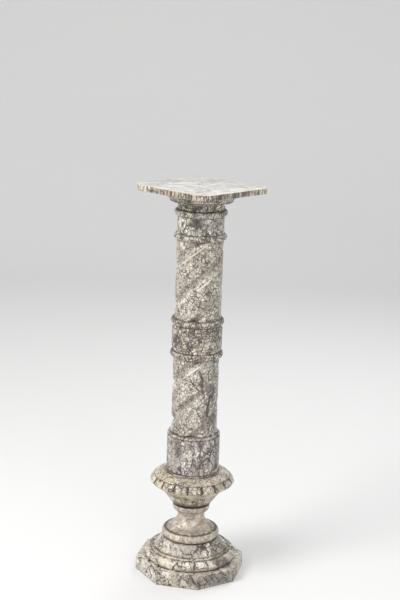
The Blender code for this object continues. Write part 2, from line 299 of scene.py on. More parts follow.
def makeSpiral(name, node, turn, flared):
    s = spiralSizes
    low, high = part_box(node)
    height = high.z - low.z
    perLobe = s["pointsPerLobe"]
    clearSelection()
    points = perLobe * s["starts"]
    bpy.ops.mesh.primitive_circle_add(vertices=points, radius=s["radius"], location=(0, 0, 0))
    piece = bpy.context.object
    piece.name = piece.data.name = name
    bpy.ops.object.mode_set(mode="EDIT")
    bpy.ops.mesh.select_mode(type="VERT")
    for step in range(perLobe // 2 + 1):
        share = step / perLobe
        scale = 1 - grooveDepthAt(share) / s["radius"]
        selectVerts(piece, lambda co, share=share: abs(fromCut(co, s["starts"]) - share) < 0.2 / perLobe)
        widen(scale, 0)
    bpy.ops.mesh.select_all(action="SELECT")
    rise = height / s["levels"]
    for level in range(s["levels"]):
        draw(0, 0, rise)
    for end in (0, height):
        selectVerts(piece, lambda co, end=end: abs(co.z - end) < rise / 3)
        bpy.ops.mesh.edge_face_add()
    if flared:
        for level in range(int(s["flareHeight"] / rise) + 1):
            z = level * rise
            spread = s["flareProjection"] * max(0, 1 - z / s["flareHeight"]) ** 2
            scale = 1 + spread / s["radius"]
            selectVerts(piece, lambda co, z=z: abs(co.z - z) < rise / 3)
            widen(scale, z)
    turnFacesOut()
    twist = piece.modifiers.new("spiralTwist", "SIMPLE_DEFORM")
    twist.deform_method = "TWIST"
    twist.deform_axis = "Z"
    twist.angle = tau * height / s["lead"]
    bpy.ops.object.modifier_apply(modifier=twist.name)
    piece.rotation_euler.z = radians(turn)
    piece.location.z = low.z
    applyPlace(piece)
    return settle(piece, node, crease=50)


# Middle band: two beads, two recesses and a plain band

bandSizes = {
    "shaftRadius": shared["shaftRadius"],
    "beadHeight": 0.0176,
    "beadProjection": 0.0093,
    "bandProjection": 0.0053,
    "bandHeight": 0.0556,
    "recessDepth": 0.0023,
    "recessHeight": 0.0094,
    "easedEdge": 0.0005,
}


def makeMiddleBand():
    s = bandSizes
    band = s["shaftRadius"] + s["bandProjection"]
    recess = band - s["recessDepth"]
    projection = s["shaftRadius"] + s["beadProjection"] - recess
    bandBottom = s["beadHeight"] + s["recessHeight"]
    bandTop = bandBottom + s["bandHeight"]
    outline = halfRound(recess, projection, 0, s["beadHeight"])
    outline += [(recess, bandBottom), (band, bandBottom), (band, bandTop), (recess, bandTop)]
    outline += halfRound(recess, projection, bandTop + s["recessHeight"], s["beadHeight"])
    piece = lathe("beadedMiddleBand", outline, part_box("middle_band")[0].z)
    return settle(piece, "middle_band", s["easedEdge"])


# Lower drum: foot ring, plain drum, cut line, rounded shoulder

drumSizes = {
    "radius": 0.0737,
    "footProjection": 0.0022,
    "footHeight": 0.0072,
    "plainHeight": 0.1008,
    "lineDepth": 0.0018,
    "lineWidth": 0.0020,
    "shoulderHeight": 0.0057,
    "shoulderDrop": 0.0045,
    "shoulderPulls": ((0.0, 0.6), (0.3, 1.0)),
    "easedEdge": 0.0005,
}


def makeLowerDrum():
    s = drumSizes
    radius, foot = s["radius"], s["radius"] + s["footProjection"]
    lineBottom = s["footHeight"] + s["plainHeight"]
    shoulder = lineBottom + s["lineWidth"]
    top = shoulder + s["shoulderHeight"]
    outline = [(foot, 0), (foot, s["footHeight"]), (radius, s["footHeight"]), (radius, lineBottom)]
    outline.append((radius - s["lineDepth"], lineBottom + s["lineWidth"] / 2))
    outline += curveBetween((radius, shoulder), (radius - s["shoulderDrop"], top), s["shoulderPulls"], 8)
    piece = lathe("lowerDrumWithFootRing", outline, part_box("lower_drum")[0].z)
    return settle(piece, "lower_drum", s["easedEdge"])


# Cup: recessed foot, bowl, gadroons under a scribed line, round shoulder

cupSizes = {
    "gadroons": 18,
    "pointsPerGadroon": 12,
    "cutDepth": 0.0062,
    "firstCut": 17.7,
    "collarRadius": shared["collarRadius"],
    "drumFootRadius": drumSizes["radius"] + drumSizes["footProjection"],
    "seatMargin": 0.0014,
    "rimRadius": 0.1186,
    "shoulderHeight": 0.0266,
    "lobeHeight": 0.0315,
    "waistInset": 0.0371,
    "bowlHeight": 0.0347,
    "bottomOverhang": 0.0014,
    "footInset": 0.0080,
    "footHeight": 0.0030,
    "scribeDepth": 0.0007,
    "bowlPulls": ((0.44, 0.33), (0.74, 0.82)),
    "lobePulls": ((0.34, 0.50), (1.0, 0.76)),
    "shoulderPulls": ((0.05, 0.38), (0.49, 0.96)),
}


def makeCup():
    s = cupSizes
    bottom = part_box("gadrooned_cup")[0].z
    waist = s["footHeight"] + s["bowlHeight"]
    rim = waist + s["lobeHeight"]
    seat = rim + s["shoulderHeight"]
    seatRadius = s["drumFootRadius"] + s["seatMargin"]
    waistRadius = s["rimRadius"] - s["waistInset"]
    bowlFoot = s["collarRadius"] + s["bottomOverhang"]
    foot = s["collarRadius"] - s["footInset"]
    bowl = curveBetween((bowlFoot, s["footHeight"]), (waistRadius, waist), s["bowlPulls"], 10)
    lobe = curveBetween((waistRadius, waist), (s["rimRadius"], rim), s["lobePulls"], 16)
    shoulder = curveBetween((s["rimRadius"], rim), (seatRadius, seat), s["shoulderPulls"], 20)
    outline = [(foot, 0), (foot, s["footHeight"])] + bowl + lobe[1:] + shoulder[1:]
    sides = s["gadroons"] * s["pointsPerGadroon"]
    piece = lathe("gadroonedCup", outline, bottom, sides)

    # the cuts are deepest just under the line and die away towards the waist
    carved = lobe[1:] + shoulder[1:9]
    levels = [bottom + height for radius, height in carved]
    scribe = levels[-1]
    bpy.ops.object.mode_set(mode="EDIT")
    bpy.ops.mesh.select_mode(type="VERT")
    for (radius, height), z in zip(carved, levels):
        fade = min(1, (z - levels[0]) / (scribe - levels[0]) * 1.25)
        for step in range(s["pointsPerGadroon"] // 2):
            share = step / s["pointsPerGadroon"]
            depth = s["scribeDepth"] if z == scribe else s["cutDepth"] * (1 - 2 * share) ** 4 * fade
            scale = 1 - depth / radius

            def atCut(co, z=z, share=share):
                if abs(co.z - z) > levelTolerance or hypot(co.x, co.y) < s["collarRadius"]:
                    return False
                return abs(fromCut(co, s["gadroons"]) - share) < 0.2 / s["pointsPerGadroon"]

            selectVerts(piece, atCut)
            widen(scale, z)
    bpy.ops.object.mode_set(mode="OBJECT")
    piece.rotation_euler.z = radians(s["firstCut"])
    applyPlace(piece)
    return settle(piece, "gadrooned_cup", crease=50)


# Socle: round-edged disc, scotia, waist and collar

socleSizes = {
    "collarRadius": shared["collarRadius"],
    "collarHeight": 0.0170,
    "collarTaper": 0.0030,
    "neckRadius": 0.0380,
    "neckDrop": 0.0200,
    "scotiaHeight": 0.0380,
    "rimRadius": 0.0810,
    "rimHeight": 0.0230,
    "rimInset": 0.0106,
    "rimArc": 1.25,
    "easedEdge": 0.0006,
}


def makeSocle():
    s = socleSizes
    crease = s["rimRadius"] - s["rimInset"]
    neck = s["rimHeight"] + s["scotiaHeight"]
    collarBottom = neck + s["neckDrop"]
    top = collarBottom + s["collarHeight"]
    flare = crease - s["neckRadius"]
    collarFoot = s["collarRadius"] - s["collarTaper"]
    outline = []
    for step in range(13):
        angle = s["rimArc"] * (step / 6 - 1)
        height = s["rimHeight"] * (0.5 + sin(angle) / 2 / sin(s["rimArc"]))
        outline.append((crease + s["rimInset"] * cos(angle), height))
    outline += sweepCurve(
        (crease, s["rimHeight"] * 0.97),
        (crease - flare * 0.55, s["rimHeight"] + s["scotiaHeight"] * 0.36),
        (s["neckRadius"], s["rimHeight"] + s["scotiaHeight"] * 0.55),
        (s["neckRadius"], neck),
        16,
    )
    outline += sweepCurve(
        (s["neckRadius"], neck + s["neckDrop"] * 0.15),
        (s["neckRadius"], neck + s["neckDrop"] * 0.55),
        (collarFoot - s["collarTaper"], collarBottom - s["neckDrop"] * 0.20),
        (collarFoot, collarBottom),
        10,
    )
    outline.append((s["collarRadius"] - s["collarTaper"] * 0.3, collarBottom + s["collarHeight"] * 0.45))
    outline.append((s["collarRadius"], top))
    piece = lathe("waistedSocle", outline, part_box("socle")[0].z)
    return settle(piece, "socle", s["easedEdge"])


# Octagonal base: plinth, torus, fillet and ogee in one block

baseSizes = {
    "acrossFlats": 0.285,
    "firstCorner": 7.3,
    "cutsPerSide": 15,
    "plinthHeight": 0.0385,
    "easedEdge": 0.0014,
    "ledge": 0.0141,
    "torusHeight": 0.0270,
    "torusOval": 0.0179,
    "torusSunk": 0.8,
    "filletInset": 0.0188,
    "filletHeight": 0.0066,
    "filletLedge": 0.0055,
    "ogeeTop": 0.0728,
    "ogeeHeight": 0.0290,
    "ogeePulls": ((0.40, 0.10), (0.58, 0.98)),
}


def makeBase():
    s = baseSizes
    torus = s["acrossFlats"] / 2 - s["ledge"]
    core = torus - s["torusOval"]
    torusTop = s["plinthHeight"] + s["torusHeight"]
    fillet = torus - s["filletInset"]
    filletTop = torusTop + s["filletHeight"]
    ogeeFoot = fillet - s["filletLedge"]
    sunk = s["torusSunk"]
    first = asin(-sunk)
    outline = []
    for step in range(15):
        angle = first + (pi / 2 - first) * step / 14
        height = s["plinthHeight"] + s["torusHeight"] * (sin(angle) + sunk) / (1 + sunk)
        outline.append((core + s["torusOval"] * cos(angle), height))
    outline += [(fillet, torusTop), (fillet, filletTop)]
    ogeeEnd = (s["ogeeTop"], filletTop + s["ogeeHeight"])
    outline += curveBetween((ogeeFoot, filletTop), ogeeEnd, s["ogeePulls"], 14)
    outline = thinned(outline)
    acrossCorners = s["acrossFlats"] / 2 / cos(pi / 8)
    clearSelection()
    bpy.ops.mesh.primitive_circle_add(
        vertices=8, radius=acrossCorners, location=(0, 0, 0), rotation=(0, 0, radians(s["firstCorner"]))
    )
    piece = bpy.context.object
    piece.name = piece.data.name = "octagonalPlinthAndMouldings"
    applyPlace(piece)
    bpy.ops.object.mode_set(mode="EDIT")
    bpy.ops.mesh.select_mode(type="VERT")
    bpy.ops.mesh.select_all(action="SELECT")
    bpy.ops.mesh.subdivide(number_cuts=s["cutsPerSide"])
    draw(0, 0, s["plinthHeight"])
    # the octagon is drawn in and rounded to the torus's foot
    draw(0, 0, 0)
    widen(0.9, s["plinthHeight"])
    bpy.ops.transform.tosphere(value=1)
    piece.update_from_editmode()
    chosen = [vertex.co for vertex in piece.data.vertices if vertex.select]
    reached = sum(hypot(co.x, co.y) for co in chosen) / len(chosen)
    widen(outline[0][0] / reached, s["plinthHeight"])
    for low, high in zip(outline, outline[1:]):
        draw(0, 0, high[1] - low[1])
        widen(high[0] / low[0], high[1])
    bpy.ops.mesh.edge_face_add()
    selectVerts(piece, lambda co: abs(co.z) < levelTolerance)
    bpy.ops.mesh.edge_face_add()
    turnFacesOut()
    return settle(piece, "octagonal_base", s["easedEdge"])


slab = makeSlab()
capital = makeCapital()
neckDrum = makeNeckDrum()
upperSpiral = makeSpiral(
    "upperSpiralShaft", "upper_twist", spiralSizes["upperTurn"], flared=False
)
middleBand = makeMiddleBand()
lowerSpiral = makeSpiral(
    "lowerSpiralShaft", "lower_twist", spiralSizes["lowerTurn"], flared=True
)
lowerDrum = makeLowerDrum()
cup = makeCup()
socle = makeSocle()
base = makeBase()
print("pieces made")


# Shader maths: a wire adds its own Math nodes when it is used in an expression

class Wire:
    def __init__(self, maker, socket):
        self.maker = maker
        self.socket = socket

    def math(self, operation, first, second=0.0, clamped=False):
        settings = {"operation": operation, "use_clamp": clamped}
        return self.maker.wire("ShaderNodeMath", settings, {0: first, 1: second})

    def __add__(self, other):
        return self.math("ADD", self, other)

    def __radd__(self, other):
        return self.math("ADD", other, self)

    def __sub__(self, other):
        return self.math("SUBTRACT", self, other)

    def __mul__(self, other):
        return self.math("MULTIPLY", self, other)

    def __rmul__(self, other):
        return self.math("MULTIPLY", other, self)

    def __truediv__(self, other):
        return self.math("DIVIDE", self, other)

    def __pow__(self, other):
        return self.math("POWER", self, other)

    def __abs__(self):
        return self.math("ABSOLUTE", self)

    def kept(self):
        # held between 0 and 1
        return self.math("ADD", self, 0.0, clamped=True)


class Stone:
    def __init__(self, name):
        self.material = bpy.data.materials.new(name)
        self.material.use_nodes = True
        self.tree = self.material.node_tree
        self.shader = self.tree.nodes["Principled BSDF"]
        self.place = self.node("ShaderNodeTexCoord").outputs["Object"]
        parts = self.node("ShaderNodeSeparateXYZ", None, {0: self.place})
        self.right, self.back, self.height = (Wire(self, socket) for socket in parts.outputs)
        self.outward = self.length(self.vector("MULTIPLY", self.place, (1.0, 1.0, 0.0)))
        # turns round the column's axis
        self.about = self.right.math("ARCTAN2", self.back, self.right) / tau
        self.dusty = self.noise(self.place, 48.0, 4.0)

    def node(self, kind, settings=None, sockets=None):
        made = self.tree.nodes.new(kind)
        for key, value in (settings or {}).items():
            setattr(made, key, value)
        for key, value in (sockets or {}).items():
            self.feed(made.inputs[key], value)
        return made

    def feed(self, target, value):
        if isinstance(value, Wire):
            value = value.socket
        if isinstance(value, bpy.types.NodeSocket):
            self.tree.links.new(value, target)
        elif target.type == "RGBA" and len(value) == 3:
            target.default_value = (*value, 1.0)
        else:
            target.default_value = value

    def wire(self, kind, settings=None, sockets=None, output=0):
        return Wire(self, self.node(kind, settings, sockets).outputs[output])

    def vector(self, operation, first, second):
        return self.node("ShaderNodeVectorMath", {"operation": operation}, {0: first, 1: second}).outputs[0]

    def length(self, vector):
        return self.wire("ShaderNodeVectorMath", {"operation": "LENGTH"}, {0: vector}, "Value")

    def along(self, vector, direction):
        sockets = {0: vector, 1: direction}
        return self.wire("ShaderNodeVectorMath", {"operation": "DOT_PRODUCT"}, sockets, "Value")

    def noise(self, vector, scale, detail=3.0, roughness=0.55, output=0):
        sockets = {"Vector": vector, "Scale": scale, "Detail": detail, "Roughness": roughness}
        return self.wire("ShaderNodeTexNoise", None, sockets, output)

    def cells(self, vector, scale, feature, output="Distance"):
        sockets = {"Vector": vector, "Scale": scale}
        return self.wire("ShaderNodeTexVoronoi", {"feature": feature}, sockets, output)

    def shifted(self, vector, scale, reach, detail=3.0):
        # a place pushed about by up to half of reach
        centred = self.vector("SUBTRACT", self.noise(vector, scale, detail, output="Color"), (0.5,) * 3)
        return self.vector("ADD", vector, self.vector("MULTIPLY", centred, (reach,) * 3))

    def turned(self, vector, angle):
        sockets = {"Vector": vector, "Angle": radians(angle)}
        return self.node("ShaderNodeVectorRotate", {"rotation_type": "Z_AXIS"}, sockets).outputs[0]

    def between(self, value, low, high):
        # 0 at low, 1 at high, smooth between; low may be the larger
        sockets = {"Value": value, "From Min": low, "From Max": high}
        return self.wire("ShaderNodeMapRange", {"interpolation_type": "SMOOTHSTEP"}, sockets)

    def most(self, first, second):
        # the larger of two, either of which may be a plain number
        return self.wire("ShaderNodeMath", {"operation": "MAXIMUM"}, {0: first, 1: second})

    def fromNearest(self, count):
        # how far a count is from its nearest whole number, -0.5 to 0.5; 60 keeps it above zero
        return self.wire("ShaderNodeMath", {"operation": "FRACT"}, {0: count + 60.5}) - 0.5

    def blend(self, factor, first, second):
        settings = {"data_type": "RGBA", "clamp_factor": True}
        return self.node("ShaderNodeMix", settings, {0: factor, 6: first, 7: second}).outputs[2]

    def ramp(self, stops, amount):
        made = self.node("ShaderNodeValToRGB", None, {"Fac": amount})
        elements = made.color_ramp.elements
        while len(elements) < len(stops):
            elements.new(0.5)
        for element, (position, colour) in zip(elements, stops):
            element.position = position
            element.color = (*colour, 1.0)
        return made.outputs["Color"]


def towards(angle, radius, height):
    return (radius * cos(radians(angle)), radius * sin(radians(angle)), height)


def seen(*levels):
    # a colour as the eye reads it on a screen, made linear
    shares = [level / 255 for level in levels]
    return tuple(share / 12.92 if share < 0.04 else ((share + 0.055) / 1.055) ** 2.4 for share in shares)


def tones(*stops):
    return [(position, seen(*colour)) for position, *colour in stops]


black, brown, white, cream = seen(44, 38, 36), seen(112, 92, 64), seen(240, 237, 230), seen(224, 212, 186)
grey, purple, ochre, dusk = seen(150, 146, 140), seen(118, 108, 106), seen(204, 186, 142), seen(82, 74, 68)


def markAt(at, size, colour, strength=0.85, lean=0.0, soft=0.55, steady=False):
    # at is angle, radius and height; size is half the width and half the height
    return {
        "at": at, "size": size, "colour": colour, "strength": strength,
        "lean": lean, "soft": soft, "steady": steady,
    }


def strokes(radius, width, lines):
    # thin dark veins, each from one angle and height to another
    made = []
    for first, low, last, high in lines:
        run, rise = radians(last - first) * radius, high - low
        middle = ((first + last) / 2, radius, (low + high) / 2)
        size = (hypot(run, rise) / 2 + 0.002, width)
        made.append(markAt(middle, size, black, lean=degrees(atan2(rise, run)), steady=True))
    return made


def ringAt(z, reach, amount, start=0.30, full=0.50, colour=None, radius=None):
    # start and full are the levels of the patchy dust noise at which the ring begins and at which it is
    # whole
    return {
        "z": z, "reach": reach, "amount": amount, "start": start,
        "full": full, "colour": colour, "radius": radius,
    }


# What each piece's look leaves out is taken from here
marbleDefaults = {
    "ground": tones(
        (0.30, 166, 156, 140), (0.42, 198, 190, 176), (0.54, 214, 207, 192), (0.68, 186, 178, 156),
    ),
    "groundScale": 32.0,
    "warpScale": 13.0,
    "warp": 0.026,
    "tearScale": 65.0,
    "tear": 0.009,
    "stretch": (1.0, 1.0, 0.85),
    "cloudScale": 46.0,
    "cloudEdge": (0.50, 0.62),
    "cloudAmount": 0.16,
    "cloudColour": seen(160, 151, 140),
    "clastScale": 88.0,
    "clastEdge": (0.66, 0.78),
    "clastAmount": 0.70,
    "clastColour": seen(226, 221, 208),
    "darkEdge": (0.26, 0.16),
    "darkAmount": 0.14,
    "darkColour": seen(124, 113, 102),
    "markDepth": 0.035,
    "markEdge": 1.15,
    # each network of veins: scale, width of line, strength, share of the stone it covers
    "veins": [(21.0, 0.014, 0.90, 0.60), (44.0, 0.022, 0.95, 0.75), (82.0, 0.036, 0.85, 0.75)],
    "veinColour": seen(56, 48, 44),
    # nets between grains: scale, width of line, strength
    "nets": [(80.0, 0.085, 0.90), (140.0, 0.12, 0.55)],
    "netColour": seen(62, 53, 47),
    "netStart": 0.44,
    "grainScale": 520.0,
    "grain": 0.14,
    "grainColour": seen(238, 234, 226),
    "speckScale": 300.0,
    "specksToGrain": 2.4,
    "speckColour": seen(96, 86, 78),
    # colour of the painted crease shade, with some grime
    "shadeAndGrimeColour": seen(70, 56, 38),
    "rings": [],
    "marks": [],
    "roughness": 0.40,
    "duller": {"veins": 0.15, "shadeAndGrime": 0.35, "dust": 0.16},
    "reliefScale": 260.0,
    "relief": {"grain": 0.25, "veins": 0.5, "nets": 0.4, "shadeAndGrime": 0.6},
    "bumpStrength": 0.4,
    "bumpDepth": 0.0005,
    "coat": 0.16,
    "coatRoughness": 0.24,
}

# Painted highlights along the lower lips and painted lightening in the grooves of the spirals, as shares of
# the way between two grooves
spiralPaintedLight = {
    "grooveLightEdge": (0.24, 0.04),
    "grooveLightColour": seen(226, 218, 204),
    "lipAt": 0.23,
    "lip": (0.034, 0.008),
    "lipHighlightColour": seen(232, 227, 216),
    "dustEdge": (0.43, 0.56),
    "lipHighlight": 0.40,
}


def layStone(m, s, bent, torn):
    # ground tones, clouds of a greyer stone, then light and dark clasts
    colour = m.ramp(s["ground"], m.noise(bent, s["groundScale"], 5.0, 0.62))
    cloudy = m.noise(m.vector("ADD", bent, (0.7, 0.2, 0.4)), s["cloudScale"], 5.0, 0.62)
    colour = m.blend(m.between(cloudy, *s["cloudEdge"]) * s["cloudAmount"], colour, s["cloudColour"])
    cell = m.wire("ShaderNodeSeparateColor", None, {0: m.cells(torn, s["clastScale"], "F1", "Color")})
    colour = m.blend(m.between(cell, *s["clastEdge"]) * s["clastAmount"], colour, s["clastColour"])
    return m.blend(m.between(cell, *s["darkEdge"]) * s["darkAmount"], colour, s["darkColour"])


def layMarks(m, s, colour):
    # marks that stand in known places; the steady ones have straighter edges
    ragged = m.shifted(m.shifted(m.place, 60.0, 0.014), 190.0, 0.009)
    steady = m.shifted(m.place, 110.0, 0.0060)
    for mark in s["marks"]:
        away = m.vector("SUBTRACT", steady if mark["steady"] else ragged, towards(*mark["at"]))
        angle, lean = radians(mark["at"][0]), radians(mark["lean"])
        side = (-sin(angle) * cos(lean), cos(angle) * cos(lean), sin(lean))
        rise = (sin(angle) * sin(lean), -cos(angle) * sin(lean), cos(lean))
        across = m.along(away, side) / mark["size"][0]
        up = m.along(away, rise) / mark["size"][1]
        inward = m.along(away, (cos(angle), sin(angle), 0.0)) / s["markDepth"]
        reach = (across * across + up * up + inward * inward) ** 0.5
        shade = m.between(reach, s["markEdge"], mark["soft"]) * mark["strength"]
        colour = m.blend(shade, colour, mark["colour"])
    return colour


def netsOver(m, s, place, torn):
    # fine net between small grains, dense in some places and absent in others
    net = 0.0
    for scale, width, strength in s["nets"]:
        spread = m.noise(m.vector("ADD", place, (0.0, scale / 100, 0.3)), 24.0, 4.0, 0.6)
        patchy = m.between(spread, s["netStart"] - 0.09, s["netStart"] + 0.07)
        fine = m.cells(m.vector("ADD", torn, (scale / 70, 0.0, 0.2)), scale, "DISTANCE_TO_EDGE")
        net = m.most(net, m.between(fine, width, width * 0.4) * patchy * strength)
    return net


def veinsOver(m, s, place, torn):
    # wandering veins of several sizes
    veined = 0.0
    for number, (scale, width, strength, share) in enumerate(s["veins"]):
        own = m.vector("ADD", torn, (0.31 * number, 0.17 * number + 0.5, 0.23 * number))
        ridge = abs(m.noise(own, scale, 2.4, 0.50) - 0.5)
        spread = m.noise(m.vector("ADD", place, (0.9, 0.4 * number, 0.6)), 19.0 + 8.0 * number)
        patchy = m.between(spread, 0.62 - 0.28 * share, 0.66 - 0.16 * share)
        veined = m.most(veined, m.between(ridge, width, width * 0.35) * patchy * strength)
    return veined


def layRings(m, s, colour):
    # rings that run round the piece: one with a colour is laid at once, the others are gathered as painted
    # shade in the creases, with some grime
    shadeAndGrime = 0.0
    for ring in s["rings"]:
        near = m.between(abs(m.height - ring["z"]), ring["reach"], ring["reach"] * 0.25)
        near = near * m.between(m.dusty, ring["start"], ring["full"]) * ring["amount"]
        if ring["radius"]:
            near = near * m.between(abs(m.outward - ring["radius"]), 0.007, 0.002)
        if ring["colour"]:
            colour = m.blend(near, colour, ring["colour"])
        else:
            shadeAndGrime = m.most(shadeAndGrime, near)
    return colour, shadeAndGrime


def laySpiral(m, spiral, colour):
    # share is counted round the shaft from one groove to the next
    w = spiralPaintedLight
    turns = m.about - (m.height - spiral["low"]) / spiralSizes["lead"] - spiral["turn"] / 360
    share = m.fromNearest(turns * spiralSizes["starts"])
    # painted light inside each groove, offsetting its shade
    colour = m.blend(m.between(abs(share), *w["grooveLightEdge"]) * spiral["grooveLightening"], colour, w["grooveLightColour"])
    # painted highlight along each groove's lower lip, with stronger painted highlight streaks at given
    # places
    lipHighlight = m.between(m.dusty, *w["dustEdge"]) * w["lipHighlight"]
    for angle, level, reach, strength in spiral["highlightStreaks"]:
        away = m.length(m.vector("SUBTRACT", m.place, towards(angle, spiralSizes["radius"], level)))
        lipHighlight = m.most(lipHighlight, m.between(away, reach, reach * 0.5) * strength)
    lipHighlight = lipHighlight * m.between(abs(share - w["lipAt"]), *w["lip"])
    return m.blend(lipHighlight, colour, w["lipHighlightColour"])


def cutShadeAndGrime(m, cuts):
    # painted shade with some grime down in the cuts between gadroons, thinning out below
    share = m.fromNearest((m.about - cuts["first"] / 360) * cuts["count"])
    fall = m.between(m.height, cuts["low"], cuts["high"])
    wide = 0.02 + 0.11 * fall
    held = m.between(abs(share) / wide, 1.0, 0.35)
    held = held * m.between(m.height, cuts["top"] + 0.0006, cuts["top"]) * m.between(fall, 0.0, 0.25)
    return held * m.between(m.dusty, 0.22, 0.42) * cuts["amount"]


def addGrain(m, s, colour):
    grain = m.between(m.noise(m.place, s["grainScale"], 2.0, 0.7), 0.50, 0.70) * s["grain"]
    colour = m.blend(grain, colour, s["grainColour"])
    specks = m.between(m.noise(m.place, s["speckScale"], 3.0, 0.6), 0.58, 0.68)
    return m.blend(specks * (s["grain"] * s["specksToGrain"]), colour, s["speckColour"])


def layTopAndSheen(m, flat, bent, torn, colour):
    # the flat top is cleaner stone with a grey veining of its own; its paler, greyer ground also holds a
    # painted sheen, the polished top's reflection of the ceiling
    topColour = m.ramp(flat["ground"], m.noise(bent, flat["groundScale"], 4.0, 0.6))
    streaked = m.vector("MULTIPLY", m.turned(torn, flat["flow"]), flat["stretch"])
    for scale, width, strength in flat["veins"]:
        ridge = abs(m.noise(m.vector("ADD", streaked, (scale / 10, 0.3, 0.1)), scale, 2.0, 0.5) - 0.5)
        topColour = m.blend(m.between(ridge, width, width * 0.2) * strength, topColour, flat["veinColour"])
    fromMiddle = m.most(abs(m.right), abs(m.back))
    edged = m.between(fromMiddle + (m.dusty - 0.5) * 0.04, *flat["border"]) * flat["borderAmount"]
    topColour = m.blend(edged, topColour, flat["borderColour"])
    return m.blend(m.between(m.height, flat["from"], flat["to"]), colour, topColour)


def paintMarble(piece, look):
    s = {**marbleDefaults, **look}
    m = Stone(piece.name + "Marble")
    place = m.vector("ADD", m.vector("MULTIPLY", m.place, s["stretch"]), s["shift"])
    bent = m.shifted(place, s["warpScale"], s["warp"])
    torn = m.shifted(bent, s["tearScale"], s["tear"], 4.0)
    colour = layMarks(m, s, layStone(m, s, bent, torn))
    net = netsOver(m, s, place, torn)
    veined = veinsOver(m, s, place, torn)
    colour = m.blend(veined, m.blend(net, colour, s["netColour"]), s["veinColour"])
    # painted shade in creases and cuts, with some grime, darkens the colour below
    colour, shadeAndGrime = layRings(m, s, colour)
    if "spiral" in s:
        colour = laySpiral(m, s["spiral"], colour)
    if "cuts" in s:
        shadeAndGrime = m.most(shadeAndGrime, cutShadeAndGrime(m, s["cuts"]))
    colour = addGrain(m, s, m.blend(shadeAndGrime, colour, s["shadeAndGrimeColour"]))
    if "top" in s:
        colour = layTopAndSheen(m, s["top"], bent, torn, colour)

    duller, depth = s["duller"], s["relief"]
    dull = veined * duller["veins"] + shadeAndGrime * duller["shadeAndGrime"]
    dull = (dull + (m.dusty - 0.5) * duller["dust"] + s["roughness"]).kept()
    relief = m.noise(m.place, s["reliefScale"], 4.0, 0.6) * depth["grain"]
    relief = relief - veined * depth["veins"] - net * depth["nets"] - shadeAndGrime * depth["shadeAndGrime"]
    sockets = {"Strength": s["bumpStrength"], "Distance": s["bumpDepth"], "Height": relief}
    m.feed(m.shader.inputs["Base Color"], colour)
    m.feed(m.shader.inputs["Roughness"], dull)
    m.feed(m.shader.inputs["Normal"], m.node("ShaderNodeBump", None, sockets).outputs["Normal"])
    m.shader.inputs["Coat Weight"].default_value = s["coat"]
    m.shader.inputs["Coat Roughness"].default_value = s["coatRoughness"]
    m.shader.inputs["Specular IOR Level"].default_value = 0.5
    piece.data.materials.clear()
    piece.data.materials.append(m.material)
    print("painted", piece.name)


# radii at which marks stand on each form
onShaft, onBand, onDrum = shared["shaftRadius"], 0.0690, drumSizes["radius"]
onShoulder, onOgee, onTorus, onPlinth = 0.1000, 0.0950, 0.1260, 0.1450

# angle and distance of thin dark veins that cross the slab's edge
slabStrokes = [
    (176, 0.135), (181, 0.135), (198, 0.142), (207, 0.152), (214, 0.163), (219, 0.174),
    (229, 0.173), (233, 0.169), (237, 0.161), (240, 0.156), (243, 0.151), (246, 0.148),
    (251, 0.143), (258, 0.138), (261, 0.137), (264, 0.136), (268, 0.135),
]

slabLook = {
    "shift": (0.11, 0.32, 0.0),
    "ground": tones(
        (0.30, 156, 142, 118), (0.45, 196, 186, 162), (0.60, 212, 203, 182), (0.70, 184, 170, 140),
    ),
    "stretch": (1.1, 1.1, 0.30),
    "clastScale": 150.0,
    "clastAmount": 0.25,
    "darkAmount": 0.30,
    "veins": [(34.0, 0.018, 0.85, 0.70), (76.0, 0.034, 0.85, 0.75), (130.0, 0.044, 0.70, 0.70)],
    "roughness": 0.30,
    "coat": 0.4,
    # the top's paler, greyer tones are its own stone with a painted sheen
    "top": {
        "ground": tones(
            (0.32, 188, 187, 183), (0.46, 208, 206, 201), (0.64, 217, 214, 207),
        ),
        "veins": [(10.0, 0.036, 0.80), (21.0, 0.040, 0.75), (38.0, 0.045, 0.50)],
        "veinColour": seen(136, 136, 137),
        "from": 1.1027,
        "to": 1.1034,
        "groundScale": 22.0,
        "flow": 22.0,
        "stretch": (0.45, 1.6, 1.0),
        "border": (0.110, 0.134),
        "borderAmount": 0.6,
        "borderColour": seen(204, 194, 170),
    },
    "marks": [
        markAt((213, 0.150, 1.096), (0.008, 0.011), dusk),
        markAt((240, 0.145, 1.096), (0.009, 0.013), dusk, 0.55),
        markAt((248, 0.139, 1.096), (0.010, 0.012), dusk, 0.45),
        markAt((263, 0.138, 1.096), (0.012, 0.012), dusk, 0.55),
        markAt((255, 0.137, 1.096), (0.007, 0.009), cream, 0.70),
        # painted shade that darkens the slab's left side, where the key light falls
        markAt((183, 0.137, 1.094), (0.048, 0.016), seen(150, 136, 108), 0.65),
        markAt((188, 0.137, 1.096), (0.003, 0.012), black),
        *(markAt((*place, 1.096), (0.0017, 0.010), black, steady=True) for place in slabStrokes),
    ],
}

